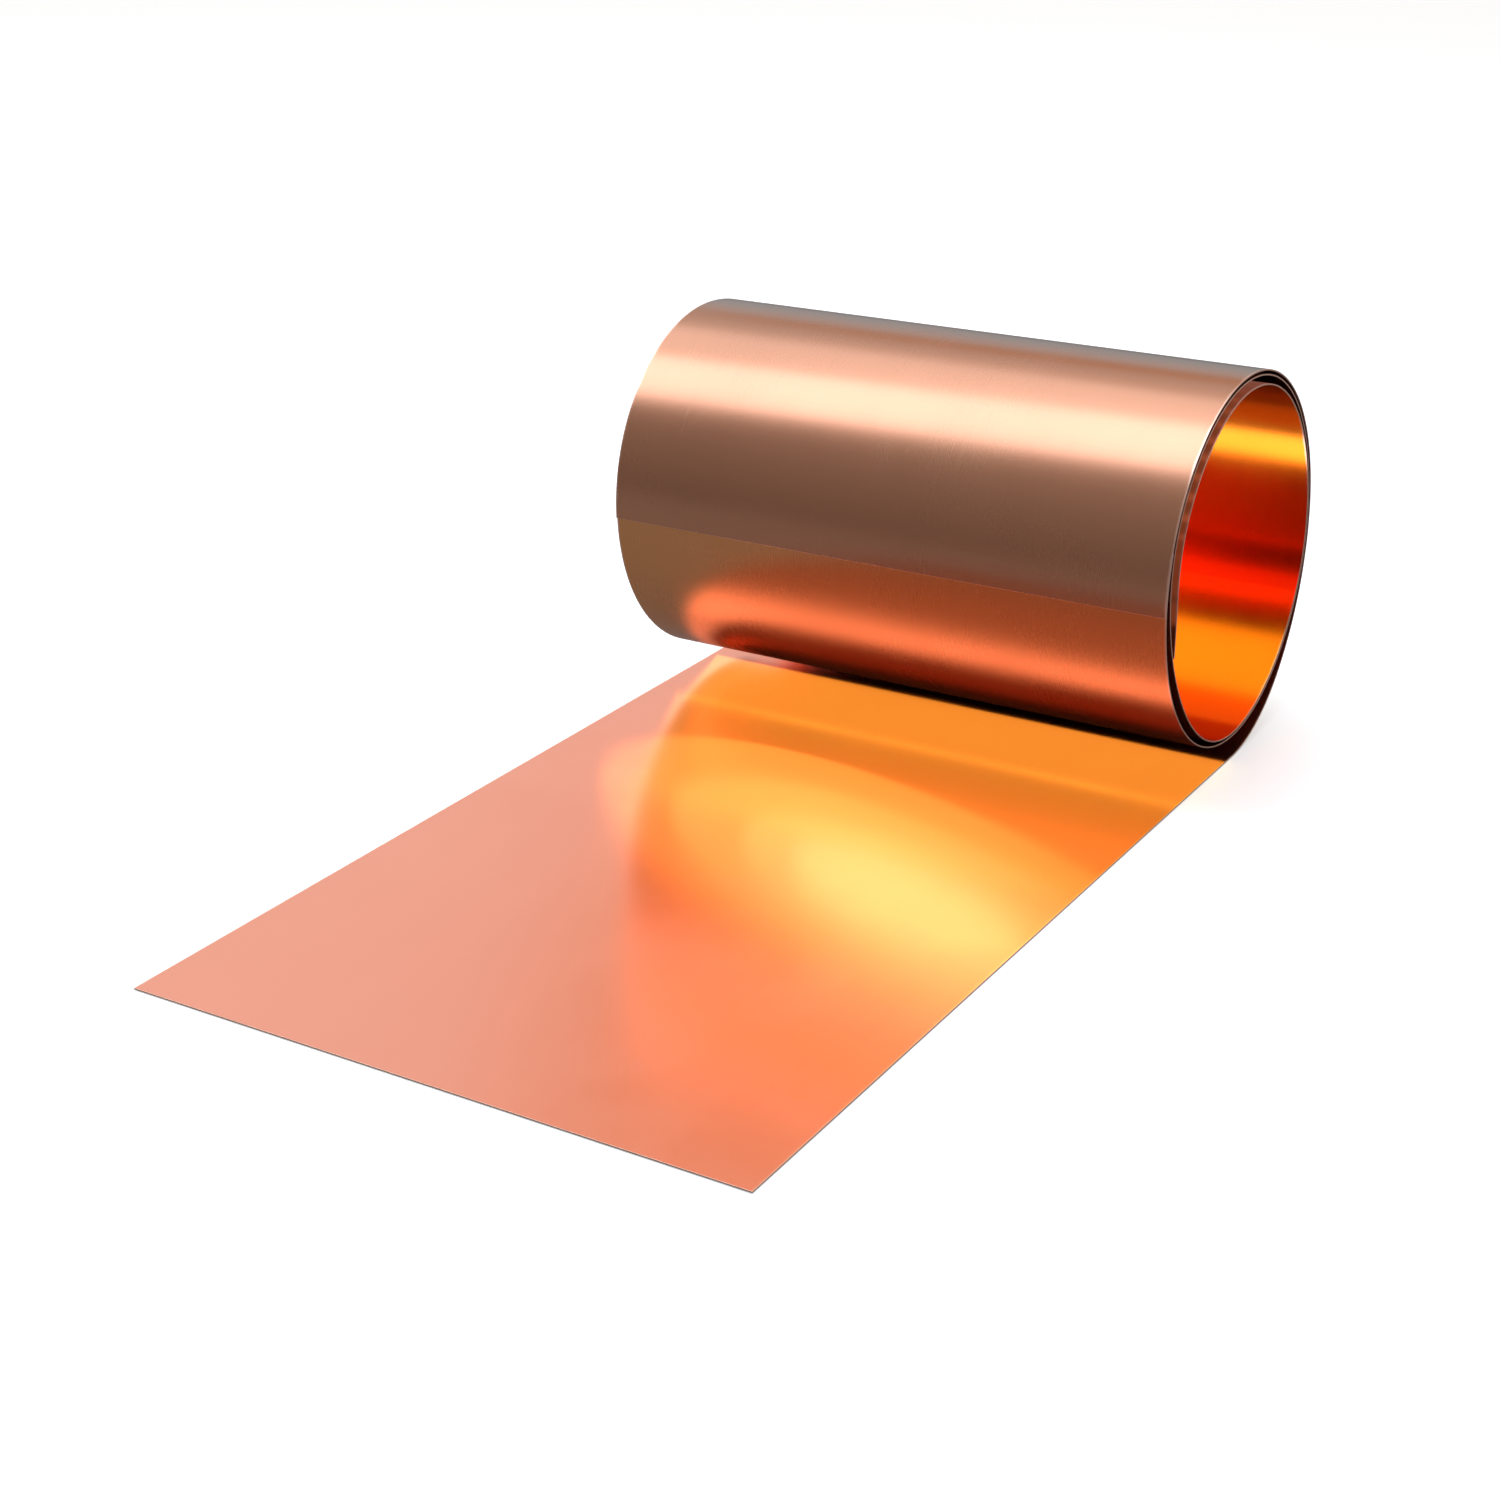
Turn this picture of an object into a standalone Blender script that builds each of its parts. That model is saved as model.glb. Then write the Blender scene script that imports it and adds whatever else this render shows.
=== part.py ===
"""Copper foil roll: one strip of rolled copper foil.

The strip's outer end is run out flat on the floor. Behind it the strip rises and is coiled, nearly
three turns, into a loose open roll. Part way down the front of the outer turn two lengths of foil
are lap-joined. The innermost turn stands off the turn outside it over the top and the front, and
its free end rests back against that turn.

The strip's section lies in the YZ plane, and the strip is as wide as the roll is long, along X.
A point of the section is given by the heading of the strip there: 0 degrees runs back along the
floor, 90 climbs behind the roll, 180 comes forward over the top, 270 goes down the front, and so on.
Units are metres.
"""
import math

import bpy
from mathutils import Matrix

FOIL_WIDTH = 0.200
FOIL_THICKNESS = 0.0005

# Flat run, from the square-cut outer end to the line where the foil lifts off the floor.
RUN_OUT_LENGTH = 0.305

# The outer turn is an oval of quarter bends.
TOP_FRONT_BEND = 0.0595
LOWER_FRONT_BEND = 0.0640
LIFT_OFF_BEND = 0.0540  # first eighth of a turn, off the floor
UNDER_ROLL_GAP = 0.0075  # from the floor to the middle of the foil at the roll's lowest point

# Each turn lies inside the one before it, this far from it where they are pressed together.
PRESSED_GAP = 0.0005

# Below the front, the second turn sags away from the outer turn and opens a crescent.
CRESCENT_START = 600.0
CRESCENT_END = 722.0
CRESCENT_DEPTH = 0.0038

# The innermost turn stands off over the top and the front, and its free end comes back out.
STAND_OFF_START = 815.0
STAND_OFF_PEAK = 975.0
INNER_END = 1008.0
STAND_OFF_DEPTH = 0.0050
STAND_OFF_AT_END = 0.0

# Lap joint: the outer length ends at this heading and covers the inner length for LAP_LENGTH.
LAP_EDGE = 272.0
LAP_LENGTH = 0.020

# Longest step between the section's points round a bend, in degrees.
BEND_STEP = 4.0

COPPER_COLOUR = (0.78, 0.34, 0.17, 1.0)


def clear_scene():
    for old in list(bpy.data.objects):
        bpy.data.objects.remove(old, do_unlink=True)


def arc_points(start, end_heading, radius):
    """Points after start, (y, z, heading), along an arc that is tangent to it."""
    y, z, heading = start
    steps = math.ceil((end_heading - heading) / BEND_STEP - 1e-9)
    centre_y = y - radius * math.sin(math.radians(heading))
    centre_z = z + radius * math.cos(math.radians(heading))
    points = []
    for step in range(1, steps + 1):
        angle = heading + (end_heading - heading) * step / steps
        turned = math.radians(angle)
        points.append((centre_y + radius * math.sin(turned), centre_z - radius * math.cos(turned), angle))
    return points


def offset(point, distance):
    """The point moved off the middle line: outwards, or inwards where distance is negative."""
    y, z, heading = point
    turned = math.radians(heading)
    return (y + distance * math.sin(turned), z - distance * math.cos(turned), heading)


def outer_turn():
    """Lift-off, the rise behind the roll, and round to the back again."""
    pitch = FOIL_THICKNESS + PRESSED_GAP
    back_top_bend = LOWER_FRONT_BEND + pitch / 2
    lower_back_bend = TOP_FRONT_BEND - pitch / 2
    back_height = UNDER_ROLL_GAP + TOP_FRONT_BEND + LOWER_FRONT_BEND - back_top_bend
    eighth = math.cos(math.radians(45))
    rise_bend = (back_height - FOIL_THICKNESS / 2 - LIFT_OFF_BEND * (1 - eighth)) / eighth
    bends = (
        (45.0, LIFT_OFF_BEND),
        (90.0, rise_bend),
        (180.0, back_top_bend),
        (270.0, TOP_FRONT_BEND),
        (360.0, LOWER_FRONT_BEND),
        (450.0, lower_back_bend),
    )
    points = [(0.0, FOIL_THICKNESS / 2, 0.0)]
    for end_heading, radius in bends:
        points += arc_points(points[-1], end_heading, radius)
    return points


def turn_gap(heading):
    """Clear gap between the strip at this heading and the turn outside it."""
    gap = PRESSED_GAP
    if CRESCENT_START < heading < CRESCENT_END:
        share = (heading - CRESCENT_START) / (CRESCENT_END - CRESCENT_START)
        gap += CRESCENT_DEPTH * math.sin(math.pi * share) ** 2
    if STAND_OFF_START < heading <= STAND_OFF_PEAK:
        share = (heading - STAND_OFF_START) / (STAND_OFF_PEAK - STAND_OFF_START)
        gap += STAND_OFF_DEPTH * math.sin(math.pi / 2 * share) ** 2
    if heading > STAND_OFF_PEAK:
        share = (heading - STAND_OFF_PEAK) / (INNER_END - STAND_OFF_PEAK)
        gap += STAND_OFF_DEPTH - (STAND_OFF_DEPTH - STAND_OFF_AT_END) * share ** 3
    return gap


def point_at(points, heading):
    """The middle line's point at any heading, between two of its points."""
    for before, after in zip(points, points[1:]):
        if before[2] <= heading <= after[2]:
            share = (heading - before[2]) / (after[2] - before[2])
            return tuple(a + (b - a) * share for a, b in zip(before, after))
    raise ValueError("no point at this heading")


def middle_line():
    """The strip's middle line from lift-off to the free inner end, as (y, z, heading)."""
    points = outer_turn()
    steps = math.ceil((INNER_END - points[-1][2]) / BEND_STEP)
    start = points[-1][2]
    for step in range(1, steps + 1):
        heading = start + (INNER_END - start) * step / steps
        y, z, _ = point_at(points, heading - 360.0)
        points.append(offset((y, z, heading), -FOIL_THICKNESS - turn_gap(heading)))
    return points


def split(points, heading):
    """The points up to a heading and those from it on, both with the point at the heading."""
    place = point_at(points, heading)
    before = [point for point in points if point[2] < heading - 1e-6]
    after = [point for point in points if point[2] > heading + 1e-6]
    return before + [place], [place] + after


def strip_section():
    """Outline of the strip's section, (y, z): along its outer face and back along its inner face.

    Up to the lap edge the outer length is centred on the middle line. The inner length starts
    under it, one thickness further in, and goes on to the free inner end.
    """
    line = middle_line()
    half = FOIL_THICKNESS / 2
    outer_end = (line[0][0] - RUN_OUT_LENGTH, line[0][1], 0.0)
    lap_degrees = math.degrees(LAP_LENGTH / TOP_FRONT_BEND)
    above_edge, below_edge = split(line, LAP_EDGE)
    before_lap, from_lap = split(line, LAP_EDGE - lap_degrees)
    outer_face = [offset(point, half) for point in [outer_end] + above_edge]
    outer_face += [offset(point, -half) for point in below_edge]
    inner_face = [offset(point, -half) for point in [outer_end] + before_lap]
    inner_face += [offset(point, -half - FOIL_THICKNESS) for point in from_lap]
    outline = [(y, z) for y, z, _ in outer_face + inner_face[::-1]]
    middle = (min(y for y, _ in outline) + max(y for y, _ in outline)) / 2
    return [(y - middle, z) for y, z in outline]


def copper_material():
    material = bpy.data.materials.new("copper")
    material.use_nodes = True
    shader = material.node_tree.nodes["Principled BSDF"]
    shader.inputs["Base Color"].default_value = COPPER_COLOUR
    shader.inputs["Metallic"].default_value = 1.0
    shader.inputs["Roughness"].default_value = 0.3
    return material


def make_foil(collection):
    """The strip: its section as a flat outline, as thick as the strip is wide."""
    outline = strip_section()
    curve = bpy.data.curves.new("copper_foil", "CURVE")
    curve.dimensions = "2D"
    curve.fill_mode = "BOTH"
    curve.extrude = FOIL_WIDTH / 2
    spline = curve.splines.new("POLY")
    spline.points.add(len(outline) - 1)
    for point, (y, z) in zip(spline.points, outline):
        point.co = (y, z, 0.0, 1.0)
    spline.use_cyclic_u = True
    curve.materials.append(copper_material())
    foil = bpy.data.objects.new("copper_foil", curve)
    # The outline's x, y and thickness stand along the part's Y, Z and X.
    foil.matrix_world = Matrix(((0, 0, 1, 0), (1, 0, 0, 0), (0, 1, 0, 0), (0, 0, 0, 1)))
    collection.objects.link(foil)


def main():
    clear_scene()
    collection = bpy.data.collections.new("copper_foil_roll")
    bpy.context.scene.collection.children.link(collection)
    make_foil(collection)


main()
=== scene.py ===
"""Copper foil roll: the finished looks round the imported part.

One strip of rolled copper foil, made of two lengths that are lap-joined part way down the front of
the roll. The outer length is run out flat on the floor, rises behind the roll and comes over the
top to the lap. The inner length starts under the lap and is coiled on inwards, nearly two turns,
to its free end. Both are drawn out of one edge along the strip's middle line, and are given their
thickness and their slit edges by modifiers. Units are metres.
"""

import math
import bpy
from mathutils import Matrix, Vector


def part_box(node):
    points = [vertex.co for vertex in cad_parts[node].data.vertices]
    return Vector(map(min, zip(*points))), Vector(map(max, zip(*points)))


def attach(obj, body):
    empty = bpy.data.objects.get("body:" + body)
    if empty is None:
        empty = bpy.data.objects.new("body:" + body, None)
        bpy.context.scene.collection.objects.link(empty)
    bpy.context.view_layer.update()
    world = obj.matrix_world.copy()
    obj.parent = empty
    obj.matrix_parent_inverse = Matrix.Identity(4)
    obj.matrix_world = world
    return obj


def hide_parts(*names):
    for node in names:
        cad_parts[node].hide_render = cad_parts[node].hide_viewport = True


bl_info = {
    "name": "Copper foil roll",
    "version": (1, 0, 0),
    "blender": (4, 5, 0),
    "location": "3D View > Sidebar > Foil roll",
    "description": "Builds a loose roll of copper foil with its end run out flat",
    "category": "Add Mesh",
}

import bpy
from mathutils import Matrix, Vector

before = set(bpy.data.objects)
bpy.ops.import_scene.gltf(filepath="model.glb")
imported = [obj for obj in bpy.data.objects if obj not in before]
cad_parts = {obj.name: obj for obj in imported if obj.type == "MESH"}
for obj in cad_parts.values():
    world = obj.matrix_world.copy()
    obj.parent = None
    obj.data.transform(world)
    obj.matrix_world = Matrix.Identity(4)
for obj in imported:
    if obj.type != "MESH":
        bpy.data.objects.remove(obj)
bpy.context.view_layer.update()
FOIL_LOW, FOIL_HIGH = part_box("copper_foil")

# Bevelled slit edge, and the hair of air that is left between the two lengths in the lap.
EDGE_ROUND = 0.00009
LAP_AIR = 0.00003

# Longest step between two rows of the strip's mesh round a bend, in degrees.
BEND_STEP = 2.0

# Rounding that a heading may carry, and the least step between two rows' headings, in degrees.
ROUNDING = 0.000001
LEAST_STEP = 0.001

# Rows of the flat run, and columns across the strip.
FLAT_ROWS = 24
COLUMNS = 8

# A length's material slots, after the inner face's slot 0.
OUTER_FACE, CUT_EDGE = 1, 2

# Depth of the rolling grain, how much of the wide lines shows in it, and how rough it is.
GRAIN_DEPTH = 0.00000015
WIDE_LINES_SHARE = 0.6
GRAIN_ROUGHNESS = 0.02

# Shade of the faint bands across the strip.
BAND_SHADE = 1.04

# The floor: its size, its clearance under the foil, its tone in reflections, and how far it is
# lifted towards white for the camera.
FLOOR_SIZE = 12.0
FLOOR_CLEARANCE = 0.0002
FLOOR_IN_REFLECTIONS = 0.30
FLOOR_LIFT = 0.45

# Rays under this depth have been reflected no more than once.
FIRST_REFLECTION = 2.5

WHITE = (1.0, 1.0, 1.0)
COOL_WHITE = (0.70, 0.83, 1.0)
WARM_BOARD = (0.76, 0.37, 0.15)
AMBER = (1.0, 0.62, 0.08)
SALMON = (1.0, 0.5, 0.45)

# Where the glow in front of the roll hangs, and how far its ellipses are turned.
GLOW_X, GLOW_Z, GLOW_TURN = 0.014, 0.049, -9.0

# Lamps in the mouth of the gap outside the innermost turn: headings, place, size and power.
GAP_MOUTH_HEADINGS = range(516, 644, 8)
GAP_MOUTH_X = 0.093
GAP_MOUTH_INSET = 0.0010
GAP_MOUTH_SIZE = (0.012, 0.011)
GAP_MOUTH_POWER = 0.00008


# ---------------------------------------------------------------------------------------------
# Sizes and colours
# ---------------------------------------------------------------------------------------------


def length(name, description, default):
    return bpy.props.FloatProperty(
        name=name, description=description, default=default, min=0.0, precision=4, unit="LENGTH")


def heading(name, description, default):
    return bpy.props.FloatProperty(
        name=name, description=description, default=math.radians(default), subtype="ANGLE",
        unit="ROTATION")


def colour(name, description, default):
    return bpy.props.FloatVectorProperty(
        name=name, description=description, default=default, subtype="COLOR", size=3, min=0.0,
        max=1.0)


class FoilRollSizes(bpy.types.PropertyGroup):
    foil_width: length("Foil width", "Width of the strip, along the roll", FOIL_HIGH.x - FOIL_LOW.x)
    foil_thickness: length("Foil thickness", "Thickness of the foil", 0.0005)
    run_out: length(
        "Run-out", "Flat length, from the square-cut end to where the foil lifts off", 0.305)
    top_front_bend: length(
        "Top front bend", "Radius of the quarter bend over the front of the top", 0.0595)
    lower_front_bend: length(
        "Lower front bend", "Radius of the quarter bend under the front", 0.0640)
    lift_off_bend: length(
        "Lift-off bend", "Radius of the first eighth of a turn, off the floor", 0.0540)
    under_roll_gap: length(
        "Gap under the roll", "Floor to the middle of the foil under the roll", 0.0075)
    pressed_gap: length("Pressed gap", "Gap between turns where they are pressed together", 0.0005)
    crescent_start: heading(
        "Crescent start", "Heading where the second turn starts to sag away", 600.0)
    crescent_end: heading(
        "Crescent end", "Heading where the second turn is back against the first", 722.0)
    crescent_depth: length(
        "Crescent depth", "Most that the second turn sags away from the first", 0.0038)
    stand_off_start: heading(
        "Stand-off start", "Heading where the innermost turn leaves the one outside it", 815.0)
    stand_off_peak: heading(
        "Stand-off peak", "Heading where the innermost turn stands off most", 975.0)
    stand_off_depth: length("Stand-off depth", "Most that the innermost turn stands off", 0.0050)
    inner_end: heading("Inner end", "Heading at the strip's free inner end", 1008.0)
    lap_edge: heading(
        "Lap edge", "Heading where the outer length ends, over the inner length", 272.0)
    lap_length: length("Lap length", "How far the outer length covers the inner length", 0.020)


class FoilRollColours(bpy.types.PropertyGroup):
    bright_face: colour(
        "Bright face", "Rolled copper on the inner face of the flat run", (0.96, 0.385, 0.265))
    # The inner length's inner face lies wholly inside the coil. Its deeper, redder copper is partly
    # the metal's own colour and partly painted shade of the coil's inside.
    coil_face_with_painted_shade: colour(
        "Coil face with painted shade", "Deeper, redder copper on the coil's inner face, partly painted shade", (0.98, 0.28, 0.018))
    weathered_face: colour(
        "Weathered face", "Brown handling film on the outer length's outer face",
        (0.56, 0.240, 0.130))
    clean_face: colour(
        "Clean face", "Outer face of the inner length, which the lap kept cleaner",
        (0.80, 0.34, 0.14))
    cut_edge: colour("Cut edge", "Fresh metal on the slit edges", (0.95, 0.56, 0.42))
    floor: colour("Floor", "Pale studio floor", (0.86, 0.86, 0.85))


# ---------------------------------------------------------------------------------------------
# The strip's middle line
# ---------------------------------------------------------------------------------------------
# A point of the line is (y, z, heading). Heading 0 runs back along the floor, 90 degrees climbs
# behind the roll, 180 comes forward over the top, 270 goes down the front, and so on.


def arc_points(start, end_heading, radius):
    """Points after start, along an arc that is tangent to it."""
    y, z, begin = start
    steps = math.ceil((end_heading - begin) / BEND_STEP - ROUNDING)
    centre_y = y - radius * math.sin(math.radians(begin))
    centre_z = z + radius * math.cos(math.radians(begin))
    points = []
    for step in range(1, steps + 1):
        angle = begin + (end_heading - begin) * step / steps
        turned = math.radians(angle)
        y, z = centre_y + radius * math.sin(turned), centre_z - radius * math.cos(turned)
        points.append((y, z, angle))
    return points


def offset(point, distance):
    """The point moved off the middle line: outwards, or inwards where distance is negative."""
    y, z, angle = point
    turned = math.radians(angle)
    return (y + distance * math.sin(turned), z - distance * math.cos(turned), angle)


def outer_turn(sizes):
    """Lift-off, the rise behind the roll, and round to the back again."""
    pitch = sizes.foil_thickness + sizes.pressed_gap
    back_top_bend = sizes.lower_front_bend + pitch / 2
    lower_back_bend = sizes.top_front_bend - pitch / 2
    roll_top = sizes.under_roll_gap + sizes.top_front_bend + sizes.lower_front_bend
    back_height = roll_top - back_top_bend
    eighth = math.cos(math.radians(45))
    lift_off_height = sizes.foil_thickness / 2 + sizes.lift_off_bend * (1 - eighth)
    rise_bend = (back_height - lift_off_height) / eighth
    bends = (
        (45.0, sizes.lift_off_bend),
        (90.0, rise_bend),
        (180.0, back_top_bend),
        (270.0, sizes.top_front_bend),
        (360.0, sizes.lower_front_bend),
        (450.0, lower_back_bend),
    )
    points = [(0.0, sizes.foil_thickness / 2, 0.0)]
    for end_heading, radius in bends:
        points += arc_points(points[-1], end_heading, radius)
    return points


def turn_gap(sizes, angle):
    """Clear gap between the strip at this heading and the turn outside it."""
    gap = sizes.pressed_gap
    crescent_start, crescent_end, stand_off_start, stand_off_peak, inner_end = (
        math.degrees(place) for place in (
            sizes.crescent_start, sizes.crescent_end, sizes.stand_off_start, sizes.stand_off_peak,
            sizes.inner_end))
    if crescent_start < angle < crescent_end:
        share = (angle - crescent_start) / (crescent_end - crescent_start)
        gap += sizes.crescent_depth * math.sin(math.pi * share) ** 2
    if stand_off_start < angle <= stand_off_peak:
        share = (angle - stand_off_start) / (stand_off_peak - stand_off_start)
        gap += sizes.stand_off_depth * math.sin(math.pi / 2 * share) ** 2
    if angle > stand_off_peak:
        share = (angle - stand_off_peak) / (inner_end - stand_off_peak)
        gap += sizes.stand_off_depth * (1 - share ** 3)
    return gap


def point_at(points, angle):
    """The middle line's point at any heading, between two of its points."""
    for before, after in zip(points, points[1:]):
        if before[2] - ROUNDING <= angle <= after[2] + ROUNDING:
            share = (angle - before[2]) / (after[2] - before[2])
            return tuple(a + (b - a) * share for a, b in zip(before, after))
    raise ValueError("the middle line has no point at this heading")


def middle_line(sizes):
    """The whole middle line, from lift-off to the free inner end."""
    points = outer_turn(sizes)
    start, end = points[-1][2], math.degrees(sizes.inner_end)
    steps = math.ceil((end - start) / BEND_STEP)
    for step in range(1, steps + 1):
        angle = start + (end - start) * step / steps
        y, z, _ = point_at(points, angle - 360.0)
        points.append(offset((y, z, angle), -sizes.foil_thickness - turn_gap(sizes, angle)))
    return points


def length_lines(sizes):
    """Middle lines of the outer and the inner length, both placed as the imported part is."""
    line = middle_line(sizes)
    lap_edge = math.degrees(sizes.lap_edge)
    lap_start = lap_edge - math.degrees(sizes.lap_length / sizes.top_front_bend)
    edge_point, lap_point = point_at(line, lap_edge), point_at(line, lap_start)
    lift_y, lift_z, _ = line[0]
    flat_run = [
        (lift_y - sizes.run_out * (1 - row / FLAT_ROWS), lift_z, 0.0) for row in range(FLAT_ROWS)]
    outer = flat_run + [point for point in line if point[2] < lap_edge - LEAST_STEP]
    outer.append(edge_point)
    inner = [lap_point] + [point for point in line if point[2] > lap_start + LEAST_STEP]
    inner = [offset(point, -sizes.foil_thickness) for point in inner]
    shift = FOIL_LOW.y - outer[0][0]
    return ([(y + shift, z, angle) for y, z, angle in points] for points in (outer, inner))


# ---------------------------------------------------------------------------------------------
# Modelling
# ---------------------------------------------------------------------------------------------


def deselect_all():
    if bpy.context.mode != "OBJECT":
        bpy.ops.object.mode_set(mode="OBJECT")
    bpy.ops.object.select_all(action="DESELECT")


def select_edge_row(mesh, row):
    """Selects only the edges between the given row's vertices, in edit mode's edge select."""
    bpy.ops.object.mode_set(mode="OBJECT")
    wanted = set(row)
    for vertex in mesh.vertices:
        vertex.select = vertex.index in wanted
    for edge in mesh.edges:
        edge.select = all(index in wanted for index in edge.vertices)
    for face in mesh.polygons:
        face.select = False
    bpy.ops.object.mode_set(mode="EDIT")
    bpy.ops.mesh.select_mode(type="EDGE")


def draw_strip(name, line, width):
    """An open strip: a grid one row long, whose far edge is extruded along the line, row by row."""
    deselect_all()
    first, second = line[0], line[1]
    bpy.ops.mesh.primitive_grid_add(x_subdivisions=COLUMNS, y_subdivisions=1, size=1.0)
    strip = bpy.context.active_object
    strip.name = strip.data.name = name
    # The grid's two rows are laid on the line's first two points.
    far_row = []
    for vertex in strip.data.vertices:
        is_far = vertex.co.y > 0
        y, z, _ = second if is_far else first
        vertex.co = (vertex.co.x * width, y, z)
        if is_far:
            far_row.append(vertex.index)
    select_edge_row(strip.data, far_row)
    for before, after in zip(line[1:], line[2:]):
        bpy.ops.mesh.extrude_region_move(
            TRANSFORM_OT_translate={"value": (0.0, after[0] - before[0], after[1] - before[1])})
    bpy.ops.object.mode_set(mode="OBJECT")
    unroll(strip, line, width)
    return strip


def unroll(strip, line, width):
    """Stores each vertex's place on the unrolled strip, in metres, for patterns that follow it."""
    in_a_row = COLUMNS + 1
    run = [0.0]
    for before, after in zip(line, line[1:]):
        run.append(run[-1] + math.hypot(after[0] - before[0], after[1] - before[1]))
    places = strip.data.attributes.new("strip", "FLOAT_VECTOR", "POINT")
    for vertex in strip.data.vertices:
        places.data[vertex.index].vector = (vertex.co.x, run[vertex.index // in_a_row], width)


def give_thickness(strip, thickness, materials):
    """Foil thickness about the middle line, eased slit edges, and a finish for each side."""
    for material in materials:
        strip.data.materials.append(material)
    solid = strip.modifiers.new("Thickness", "SOLIDIFY")
    solid.thickness = thickness
    solid.offset = 0.0
    solid.use_even_offset = True
    solid.material_offset = OUTER_FACE
    solid.material_offset_rim = CUT_EDGE
    edges = strip.modifiers.new("Eased edges", "BEVEL")
    edges.width = EDGE_ROUND
    edges.segments = 2
    edges.limit_method = "ANGLE"
    edges.angle_limit = math.radians(60)
    edges.harden_normals = True
    edges.material = CUT_EDGE
    bpy.context.view_layer.objects.active = strip
    strip.select_set(True)
    bpy.ops.object.shade_smooth()
    for modifier in (solid, edges):
        bpy.ops.object.modifier_apply(modifier=modifier.name)


def finish_length(strip):
    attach(strip, "root")
    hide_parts("copper_foil")


# ---------------------------------------------------------------------------------------------
# Node groups
# ---------------------------------------------------------------------------------------------


class NodeSheet:
    """A node tree that nodes are laid out on from left to right."""

    def __init__(self, tree):
        self.tree = tree
        self.column = 0

    def add(self, kind, label, settings=None, values=None):
        node = self.tree.nodes.new(kind)
        node.label = node.name = label
        node.location = (self.column * 200, 0)
        self.column += 1
        for key, value in (settings or {}).items():
            setattr(node, key, value)
        for key, value in (values or {}).items():
            self.feed(node.inputs[key], value)
        return node

    def feed(self, socket, value):
        if isinstance(value, bpy.types.NodeSocket):
            self.tree.links.new(value, socket)
        else:
            socket.default_value = value


def new_group(name, inputs, outputs):
    """A shader node group. Inputs and outputs are (name, socket type, default)."""
    tree = bpy.data.node_groups.new(name, "ShaderNodeTree")
    for direction, sockets in (("INPUT", inputs), ("OUTPUT", outputs)):
        for socket_name, kind, default in sockets:
            socket = tree.interface.new_socket(name=socket_name, in_out=direction, socket_type=kind)
            if default is not None:
                socket.default_value = default
    sheet = NodeSheet(tree)
    return sheet, sheet.add("NodeGroupInput", "In"), tree


VALUE, VECTOR, COLOUR = "NodeSocketFloat", "NodeSocketVector", "NodeSocketColor"


def rolling_grain_group():
    """Fine lines left by the mill's rolls: long in the strip's run, and narrow across it."""
    sheet, given, tree = new_group(
        "Rolling grain",
        [("Strip", VECTOR, None), ("Line Width", VALUE, 0.0003), ("Line Length", VALUE, 0.08)],
        [("Lines", VALUE, None), ("Height", VALUE, None)])
    scale = sheet.add("ShaderNodeCombineXYZ", "Line size", None, {"Z": 1.0})
    for axis, size in (("X", "Line Width"), ("Y", "Line Length")):
        share = sheet.add("ShaderNodeMath", f"Lines per metre {axis}", {"operation": "DIVIDE"},
                          {0: 1.0, 1: given.outputs[size]})
        sheet.feed(scale.inputs[axis], share.outputs[0])
    stretched = sheet.add("ShaderNodeVectorMath", "Stretched along the run",
                          {"operation": "MULTIPLY"},
                          {0: given.outputs["Strip"], 1: scale.outputs[0]})
    fine = sheet.add("ShaderNodeTexNoise", "Fine lines", {"noise_dimensions": "2D"},
                     {"Vector": stretched.outputs[0], "Scale": 1.0, "Detail": 3.0,
                      "Roughness": 0.6})
    wide = sheet.add("ShaderNodeTexNoise", "Wide lines", {"noise_dimensions": "2D"},
                     {"Vector": stretched.outputs[0], "Scale": 0.13, "Detail": 2.0,
                      "Roughness": 0.5})
    both = sheet.add("ShaderNodeMath", "Fine and wide", {"operation": "MULTIPLY_ADD"},
                     {0: wide.outputs[0], 1: WIDE_LINES_SHARE, 2: fine.outputs[0]})
    level = sheet.add("ShaderNodeMapRange", "Level", None,
                      {"Value": both.outputs[0], "From Min": 0.45, "From Max": 1.15})
    end = sheet.add("NodeGroupOutput", "Out")
    sheet.feed(end.inputs["Lines"], level.outputs[0])
    sheet.feed(end.inputs["Height"], fine.outputs[0])
    return tree


def handling_marks_group():
    """Soft smudges and bands of faint oxide from handling and storage."""
    sheet, given, tree = new_group(
        "Handling marks",
        [("Strip", VECTOR, None), ("Smudge Size", VALUE, 0.05)],
        [("Smudges", VALUE, None), ("Bands", VALUE, None)])
    scale = sheet.add("ShaderNodeMath", "Smudges per metre", {"operation": "DIVIDE"},
                      {0: 1.0, 1: given.outputs["Smudge Size"]})
    smudge = sheet.add("ShaderNodeTexNoise", "Smudges", None,
                       {"Vector": given.outputs["Strip"], "Scale": scale.outputs[0], "Detail": 4.0,
                        "Roughness": 0.55, "Distortion": 0.4})
    spread = sheet.add("ShaderNodeMapRange", "Smudge contrast",
                       {"interpolation_type": "SMOOTHSTEP"},
                       {"Value": smudge.outputs[0], "From Min": 0.32, "From Max": 0.72})
    along = sheet.add("ShaderNodeVectorMath", "Bands along the run", {"operation": "MULTIPLY"},
                      {0: given.outputs["Strip"], 1: (34.0, 1.2, 1.0)})
    band = sheet.add("ShaderNodeTexNoise", "Bands", {"noise_dimensions": "2D"},
                     {"Vector": along.outputs[0], "Scale": 1.0, "Detail": 2.0, "Roughness": 0.5})
    end = sheet.add("NodeGroupOutput", "Out")
    sheet.feed(end.inputs["Smudges"], spread.outputs[0])
    sheet.feed(end.inputs["Bands"], band.outputs[0])
    return tree


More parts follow.
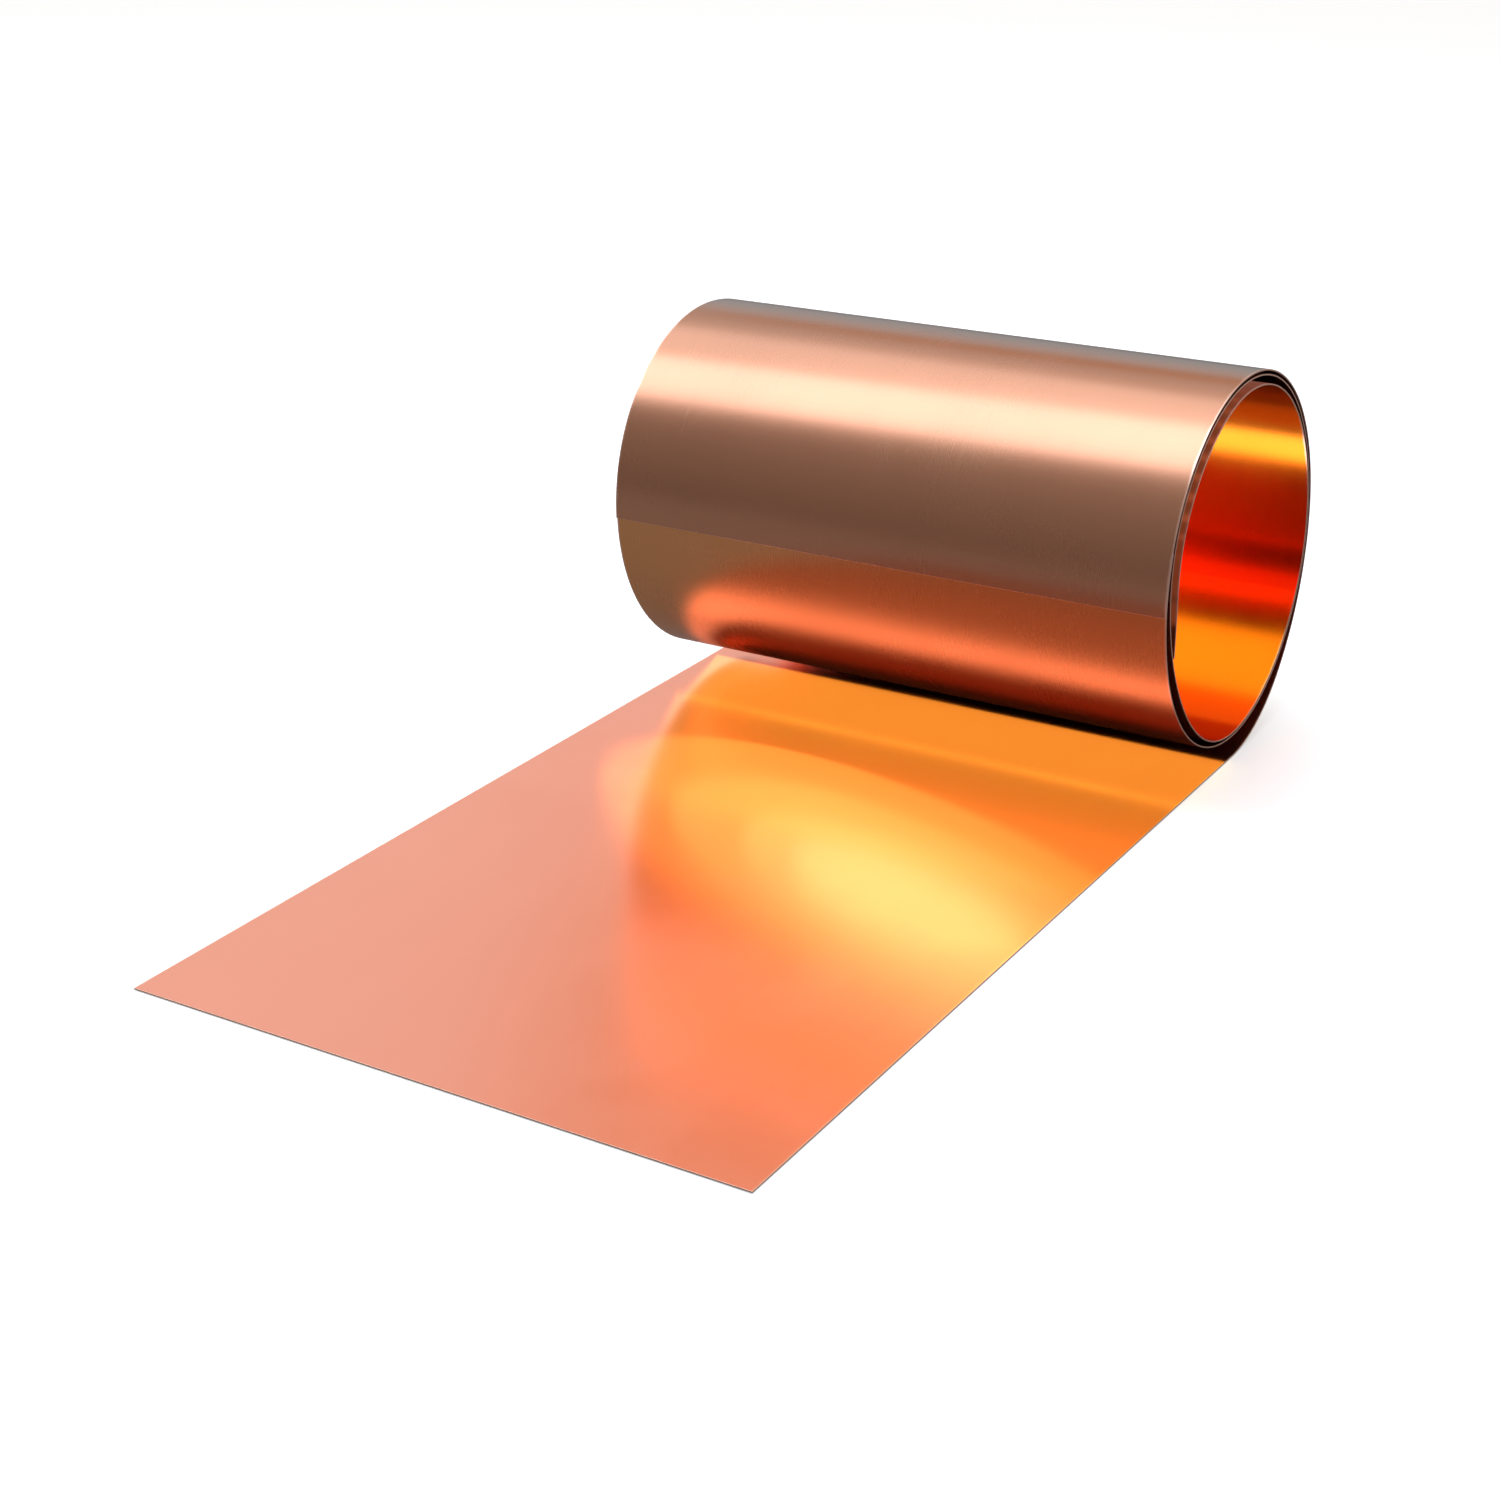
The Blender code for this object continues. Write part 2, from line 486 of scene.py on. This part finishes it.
def slit_edge_group():
    """Mask that rises to 1 in the last fraction of a millimetre before the strip's slit edges."""
    sheet, given, tree = new_group(
        "Slit edge wear",
        [("Strip", VECTOR, None), ("Wear Width", VALUE, 0.0008)],
        [("Wear", VALUE, None)])
    parts = sheet.add("ShaderNodeSeparateXYZ", "Across, run and width", None,
                      {0: given.outputs["Strip"]})
    across = sheet.add("ShaderNodeMath", "From the middle", {"operation": "ABSOLUTE"},
                       {0: parts.outputs[0]})
    half = sheet.add("ShaderNodeMath", "Half width", {"operation": "MULTIPLY"},
                     {0: parts.outputs[2], 1: 0.5})
    inset = sheet.add("ShaderNodeMath", "From the edge", {"operation": "SUBTRACT"},
                      {0: half.outputs[0], 1: across.outputs[0]})
    noise = sheet.add("ShaderNodeTexNoise", "Ragged wear", None,
                      {"Vector": given.outputs["Strip"], "Scale": 160.0, "Detail": 3.0})
    ragged = sheet.add("ShaderNodeMath", "Ragged width", {"operation": "MULTIPLY"},
                       {0: given.outputs["Wear Width"], 1: noise.outputs[0]})
    reach = sheet.add("ShaderNodeMath", "Reach", {"operation": "MULTIPLY"},
                      {0: ragged.outputs[0], 1: 2.0})
    wear = sheet.add("ShaderNodeMapRange", "Wear", {"interpolation_type": "SMOOTHSTEP"},
                     {"Value": inset.outputs[0], "From Min": 0.0, "From Max": reach.outputs[0],
                      "To Min": 1.0, "To Max": 0.0})
    end = sheet.add("NodeGroupOutput", "Out")
    sheet.feed(end.inputs["Wear"], wear.outputs[0])
    return tree


# ---------------------------------------------------------------------------------------------
# Materials
# ---------------------------------------------------------------------------------------------


def add_group(sheet, name, build, place):
    """A shared effect, built once, that reads a place on the strip."""
    tree = bpy.data.node_groups.get(name) or build()
    return sheet.add("ShaderNodeGroup", name, {"node_tree": tree}, {"Strip": place})


def mixed(sheet, label, factor, first, second):
    """Two colours mixed. The Mix node's sockets for colours come after its other ones."""
    node = sheet.add("ShaderNodeMix", label, {"data_type": "RGBA"})
    sheet.feed(node.inputs[0], factor)
    sheet.feed(node.inputs[6], first)
    sheet.feed(node.inputs[7], second)
    return node.outputs[2]


def shaded(base, factor):
    """A colour made darker or lighter, as a shader colour."""
    return tuple(min(1.0, channel * factor) for channel in base) + (1.0,)


def foil_material(name, base, wear_colour, roughness, grain_depth=GRAIN_DEPTH, smudge_shade=0.97,
                  smudge_rough=0.04, metallic=1.0):
    """Rolled foil: grain along the strip, handling marks, and bright wear along the slit edges."""
    material = bpy.data.materials.get(name)
    if material:
        return material
    material = bpy.data.materials.new(name)
    material.use_nodes = True
    sheet = NodeSheet(material.node_tree)
    shader = material.node_tree.nodes["Principled BSDF"]
    strip = sheet.add("ShaderNodeAttribute", "Place on the strip", {"attribute_name": "strip"})
    place = strip.outputs["Vector"]
    grain = add_group(sheet, "Rolling grain", rolling_grain_group, place)
    marks = add_group(sheet, "Handling marks", handling_marks_group, place)
    edge = add_group(sheet, "Slit edge wear", slit_edge_group, place)
    smudges = marks.outputs["Smudges"]
    marked = mixed(sheet, "Smudged", smudges, shaded(base, 1.0), shaded(base, smudge_shade))
    banded = mixed(sheet, "Banded", marks.outputs["Bands"], marked, shaded(base, BAND_SHADE))
    worn = mixed(sheet, "Worn edge", edge.outputs["Wear"], banded, shaded(wear_colour, 1.0))
    rough = sheet.add("ShaderNodeMapRange", "Rough where smudged", None,
                      {"Value": smudges, "To Min": roughness, "To Max": roughness + smudge_rough})
    lined = sheet.add("ShaderNodeMath", "Rough in the lines", {"operation": "MULTIPLY_ADD"},
                      {0: grain.outputs["Lines"], 1: GRAIN_ROUGHNESS, 2: rough.outputs[0]})
    bump = sheet.add("ShaderNodeBump", "Grain", None,
                     {"Height": grain.outputs["Height"], "Strength": 1.0, "Distance": grain_depth})
    sheet.feed(shader.inputs["Base Color"], worn)
    sheet.feed(shader.inputs["Roughness"], lined.outputs[0])
    sheet.feed(shader.inputs["Normal"], bump.outputs[0])
    shader.inputs["Metallic"].default_value = metallic
    shader.location = (sheet.column * 200, 0)
    material.node_tree.nodes["Material Output"].location = ((sheet.column + 2) * 200, 0)
    return material


def bright_material(colours):
    return foil_material(
        "Bright rolled copper", colours.bright_face, colours.cut_edge, roughness=0.18)


def weathered_material(colours):
    """A thin brown film lies over the metal as a coat."""
    material = foil_material(
        "Weathered copper", colours.weathered_face, colours.cut_edge, roughness=0.24,
        grain_depth=0.00000007, smudge_shade=0.95, smudge_rough=0.03, metallic=0.9)
    shader = material.node_tree.nodes["Principled BSDF"]
    shader.inputs["Coat Weight"].default_value = 0.5
    shader.inputs["Specular Tint"].default_value = (0.30, 0.52, 0.62, 1.0)
    shader.inputs["Coat Roughness"].default_value = 0.2
    return material


# The coil's inner face: its deeper, redder base colour is partly painted shade inside the coil.
def coil_material_with_painted_shade(colours):
    return foil_material(
        "Coil copper with painted shade", colours.coil_face_with_painted_shade, colours.cut_edge, roughness=0.15)


def clean_material(colours):
    return foil_material(
        "Clean outer copper", colours.clean_face, colours.cut_edge, roughness=0.25,
        smudge_shade=0.96)


def edge_material(colours):
    return foil_material(
        "Slit edge", colours.cut_edge, colours.cut_edge, roughness=0.30,
        grain_depth=0.000001, smudge_shade=0.9, smudge_rough=0.05)


# ---------------------------------------------------------------------------------------------
# Stage
# ---------------------------------------------------------------------------------------------


def aim(thing, direction):
    """Turns a light so that it shines along a direction, with its width kept level."""
    thing.rotation_euler = Vector(direction).to_track_quat("-Z", "Y").to_euler()


def add_panel(name, place, toward, width, height, power, tint):
    """A soft rectangular light that the camera doesn't see."""
    bpy.ops.object.light_add(type="AREA", location=place)
    lamp = bpy.context.active_object
    lamp.name = lamp.data.name = name
    lamp.data.shape = "RECTANGLE"
    lamp.data.size, lamp.data.size_y = width, height
    lamp.data.energy = power
    lamp.data.color = tint
    lamp.visible_camera = False
    aim(lamp, Vector(toward) - Vector(place))
    return lamp


def limit_passing_on(lamp, passed_on=0.0):
    """Lets only a share of a lamp's light be passed on from one face of foil to the next."""
    lamp.data.use_nodes = True
    sheet = NodeSheet(lamp.data.node_tree)
    emission = lamp.data.node_tree.nodes["Emission"]
    rays = sheet.add("ShaderNodeLightPath", "Depth of the ray")
    first = sheet.add("ShaderNodeMath", "First reflection", {"operation": "LESS_THAN"},
                      {0: rays.outputs["Ray Depth"], 1: FIRST_REFLECTION})
    share = sheet.add("ShaderNodeMath", "Strength", {"operation": "MAXIMUM"},
                      {0: first.outputs[0], 1: passed_on})
    sheet.feed(emission.inputs["Strength"], share.outputs[0])


def add_camera():
    azimuth, elevation, roll = math.radians(31.695), math.radians(23.018), math.radians(-0.567)
    target, distance = Vector((-0.05185, 0.06466, -0.00851)), 0.87443
    ahead = math.cos(elevation)
    back = Vector((math.sin(azimuth) * ahead, -math.cos(azimuth) * ahead, math.sin(elevation)))
    bpy.ops.object.camera_add(location=target + back * distance)
    camera = bpy.context.active_object
    camera.name = "Camera"
    camera.data.sensor_width, camera.data.lens = 36.0, 60.98
    camera.data.clip_start = 0.01
    level = back.to_track_quat("Z", "Y").to_matrix()
    camera.rotation_euler = (level @ Matrix.Rotation(roll, 3, "Z")).to_euler()
    bpy.context.scene.camera = camera


def floor_material(colours):
    material = bpy.data.materials.new("Pale floor")
    material.use_nodes = True
    sheet = NodeSheet(material.node_tree)
    shader = material.node_tree.nodes["Principled BSDF"]
    rays = sheet.add("ShaderNodeLightPath", "Seen in a reflection")
    tone = mixed(sheet, "Dimmer in reflections", rays.outputs["Is Glossy Ray"],
                 shaded(colours.floor, 1.0), shaded(colours.floor, FLOOR_IN_REFLECTIONS))
    sheet.feed(shader.inputs["Base Color"], tone)
    lift = sheet.add("ShaderNodeMath", "Lifted to white for the camera", {"operation": "MULTIPLY"},
                     {0: rays.outputs["Is Camera Ray"], 1: FLOOR_LIFT})
    glow = sheet.add("ShaderNodeCombineColor", "Lift", None,
                     {channel: lift.outputs[0] for channel in range(3)})
    sheet.feed(shader.inputs["Emission Color"], glow.outputs[0])
    shader.inputs["Emission Strength"].default_value = 1.0
    shader.inputs["Roughness"].default_value = 0.9
    return material


def tone_ramp(sheet, label, height, tones):
    """Grey tones from low to high in the room, as (height's share, tone)."""
    ramp = sheet.add("ShaderNodeValToRGB", label, None, {"Fac": height})
    stops = ramp.color_ramp.elements
    while len(stops) < len(tones):
        stops.new(1.0)
    for stop, (place, tone) in zip(stops, tones):
        stop.position = place
        stop.color = (tone, tone, tone, 1.0)
    return ramp.outputs["Color"]


def studio_world():
    """White behind everything for the camera, and a soft grey room for light and reflections."""
    world = bpy.data.worlds.new("Studio")
    bpy.context.scene.world = world
    world.use_nodes = True
    sheet = NodeSheet(world.node_tree)
    background = world.node_tree.nodes["Background"]
    direction = sheet.add("ShaderNodeTexCoord", "Direction")
    parts = sheet.add("ShaderNodeSeparateXYZ", "Direction parts", None,
                      {0: direction.outputs["Generated"]})
    height = sheet.add("ShaderNodeMapRange", "Height", None,
                       {"Value": parts.outputs["Z"], "From Min": -0.1, "From Max": 1.0})
    behind = sheet.add("ShaderNodeMapRange", "Behind the roll",
                       {"interpolation_type": "SMOOTHSTEP"},
                       {"Value": parts.outputs["Y"], "From Min": -0.35, "From Max": 0.55})
    front = tone_ramp(sheet, "Front of the room", height.outputs[0], ((0.0, 0.16), (1.0, 0.42)))
    back = tone_ramp(sheet, "Back of the room", height.outputs[0],
                     ((0.10, 0.50), (0.42, 0.94), (0.60, 0.80), (1.0, 1.0)))
    room = mixed(sheet, "Room", behind.outputs[0], front, back)
    # A warm board stands behind the roll, 25 to 37 degrees up, and stops short of its left.
    board = behind.outputs[0]
    for axis, outside, inside in (("X", -0.55, -0.49), ("Z", 0.42, 0.47), ("Z", 0.60, 0.54)):
        side = sheet.add("ShaderNodeMapRange", "Side of the board",
                         {"interpolation_type": "SMOOTHSTEP"},
                         {"Value": parts.outputs[axis], "From Min": outside, "From Max": inside})
        within = sheet.add("ShaderNodeMath", "Within the board", {"operation": "MULTIPLY"},
                           {0: board, 1: side.outputs[0]})
        board = within.outputs[0]
    room = mixed(sheet, "Warm board", board, room, shaded(WARM_BOARD, 1.0))
    rays = sheet.add("ShaderNodeLightPath", "Seen by the camera")
    seen = mixed(sheet, "White for the camera", rays.outputs["Is Camera Ray"], room,
                 shaded(WHITE, 1.0))
    sheet.feed(background.inputs["Color"], seen)


def add_floor(colours):
    bpy.ops.mesh.primitive_plane_add(
        size=FLOOR_SIZE, location=(0.0, 0.0, FOIL_LOW.z - FLOOR_CLEARANCE))
    floor = bpy.context.active_object
    floor.name = floor.data.name = "floor"
    floor.data.materials.append(floor_material(colours))


def add_overhead_lights():
    """A large soft box over the roll, and a dimmer one that feathers its edge behind."""
    overhead = add_panel("overhead_softbox", (-0.50, -0.10, 1.05), (-0.50, 0.09, 0.12),
                         1.5, 0.58, 10.8, COOL_WHITE)
    overhead.rotation_euler.rotate_axis("Z", math.radians(12))
    feather = add_panel("overhead_feather", (-0.45, 0.42, 1.00), (-0.45, 0.09, 0.12),
                        1.5, 0.42, 2.4, COOL_WHITE)
    for panel in (overhead, feather):
        limit_passing_on(panel, 0.5)


def add_warm_cards(width):
    """Warm light off the roll's front on to the flat run: name, place, facing, height, power."""
    cards = (
        ("warm_card_front", (0.0, 0.0568, 0.0850), (0.0, -1.0, 0.0), 0.115, 0.036,
         (1.0, 0.34, 0.04)),
        ("warm_card_low", (0.0, 0.0785, 0.0215), (0.0, -1.0, -1.05), 0.040, 0.017, AMBER),
        ("warm_card_under", (0.0, 0.108, 0.0064), (0.0, -0.35, -1.0), 0.026, 0.016, AMBER),
    )
    for name, place, facing, height, power, tint in cards:
        toward = Vector(place) + Vector(facing)
        limit_passing_on(add_panel(name, place, toward, width, height, power, tint))


def add_glow():
    """A glow that is brightest in its middle, from ellipses one in front of the other.

    They are given as y, width, height, power and tint.
    """
    ellipses = (
        (0.0566, 0.25, 0.086, 0.030, (1.0, 0.62, 0.14)),
        (0.0563, 0.19, 0.064, 0.014, (1.0, 0.80, 0.28)),
        (0.0560, 0.13, 0.044, 0.006, (1.0, 0.90, 0.40)),
        (0.0557, 0.09, 0.028, 0.004, (1.0, 1.0, 0.60)),
    )
    for y, width, height, power, tint in ellipses:
        glow = add_panel("glow", (GLOW_X, y, GLOW_Z), (GLOW_X, -1.0, GLOW_Z),
                         width, height, power, tint)
        glow.data.shape = "ELLIPSE"
        glow.rotation_euler.rotate_axis("Z", math.radians(GLOW_TURN))
        limit_passing_on(glow)


def add_bore_lights(width):
    """Light in the bore: name, place, aim, height, power, tint, and the share passed on."""
    lights = (
        ("bore_down", (0.0, 0.1530, 0.045), (0.0, 0.156, 0.0205), 0.006, 0.0045,
         (1.0, 0.9, 0.3), 0.0),
        ("bore_up", (0.0, 0.150, 0.030), (0.0, 0.1745, 0.088), 0.017, 0.028, WHITE, 0.15),
        ("bore_red", (0.0, 0.100, 0.083), (0.0, 0.172, 0.041), 0.020, 0.010,
         (1.0, 0.045, 0.02), 0.0),
        ("bore_glow", (0.0, 0.166, 0.048), (0.0, 0.1425, 0.0125), 0.020, 0.011,
         (1.0, 0.26, 0.06), 0.5),
    )
    for name, place, toward, height, power, tint, passed_on in lights:
        limit_passing_on(add_panel(name, place, toward, width, height, power, tint), passed_on)


def add_gap_mouth_lights(sizes):
    """Light in the mouth of the gap between the innermost turn and the turn outside it."""
    turns = middle_line(sizes)
    shift = FOIL_LOW.y - (turns[0][0] - sizes.run_out)
    for angle in GAP_MOUTH_HEADINGS:
        y, z, _ = offset(point_at(turns, angle), -GAP_MOUTH_INSET)
        inward_y, inward_z, _ = offset((0.0, 0.0, angle), -1.0)
        place = Vector((GAP_MOUTH_X, y + shift, z))
        toward = place + Vector((0.0, inward_y, inward_z))
        limit_passing_on(add_panel("gap_mouth", place, toward, *GAP_MOUTH_SIZE, GAP_MOUTH_POWER,
                                   SALMON))


# ---------------------------------------------------------------------------------------------
# Operators and panel
# ---------------------------------------------------------------------------------------------


class FOILROLL_OT_outer_length(bpy.types.Operator):
    """Adds the outer length: the flat run, the rise behind the roll, and over to the lap"""

    bl_idname = "foilroll.outer_length"
    bl_label = "Outer length"
    bl_options = {"REGISTER", "UNDO"}

    def execute(self, context):
        sizes, colours = context.scene.foil_roll_sizes, context.scene.foil_roll_colours
        outer_line, _ = length_lines(sizes)
        strip = draw_strip("outer_length", outer_line, sizes.foil_width)
        give_thickness(strip, sizes.foil_thickness,
                       (bright_material(colours), weathered_material(colours),
                        edge_material(colours)))
        finish_length(strip)
        return {"FINISHED"}


class FOILROLL_OT_inner_length(bpy.types.Operator):
    """Adds the inner length: from under the lap, coiled inwards to the free end"""

    bl_idname = "foilroll.inner_length"
    bl_label = "Inner length"
    bl_options = {"REGISTER", "UNDO"}

    def execute(self, context):
        sizes, colours = context.scene.foil_roll_sizes, context.scene.foil_roll_colours
        _, inner_line = length_lines(sizes)
        strip = draw_strip("inner_length", inner_line, sizes.foil_width)
        give_thickness(strip, sizes.foil_thickness - LAP_AIR,
                       (coil_material_with_painted_shade(colours), clean_material(colours), edge_material(colours)))
        finish_length(strip)
        return {"FINISHED"}


class FOILROLL_OT_stage(bpy.types.Operator):
    """Adds the pale floor, the room, the soft lights and the camera"""

    bl_idname = "foilroll.stage"
    bl_label = "Stage"
    bl_options = {"REGISTER", "UNDO"}

    def execute(self, context):
        sizes, colours = context.scene.foil_roll_sizes, context.scene.foil_roll_colours
        deselect_all()
        add_floor(colours)
        studio_world()
        add_overhead_lights()
        add_warm_cards(sizes.foil_width)
        add_glow()
        add_bore_lights(sizes.foil_width)
        add_gap_mouth_lights(sizes)
        add_camera()
        context.scene.view_settings.view_transform = "Standard"
        return {"FINISHED"}


class FOILROLL_PT_panel(bpy.types.Panel):
    """Sizes, colours and the steps that build the roll"""

    bl_idname = "FOILROLL_PT_panel"
    bl_label = "Copper foil roll"
    bl_space_type = "VIEW_3D"
    bl_region_type = "UI"
    bl_category = "Foil roll"

    def draw(self, context):
        layout = self.layout
        for group in (context.scene.foil_roll_sizes, context.scene.foil_roll_colours):
            box = layout.box()
            for name in group.__annotations__:
                box.prop(group, name)
        for operator in OPERATORS:
            layout.operator(operator.bl_idname)


OPERATORS = (FOILROLL_OT_outer_length, FOILROLL_OT_inner_length, FOILROLL_OT_stage)
CLASSES = (FoilRollSizes, FoilRollColours) + OPERATORS + (FOILROLL_PT_panel,)


def register():
    for cls in CLASSES:
        bpy.utils.register_class(cls)
    bpy.types.Scene.foil_roll_sizes = bpy.props.PointerProperty(type=FoilRollSizes)
    bpy.types.Scene.foil_roll_colours = bpy.props.PointerProperty(type=FoilRollColours)


def unregister():
    del bpy.types.Scene.foil_roll_colours
    del bpy.types.Scene.foil_roll_sizes
    for cls in reversed(CLASSES):
        bpy.utils.unregister_class(cls)


def main():
    register()
    bpy.ops.foilroll.outer_length()
    bpy.ops.foilroll.inner_length()
    bpy.ops.foilroll.stage()


if __name__ == "__main__":
    main()
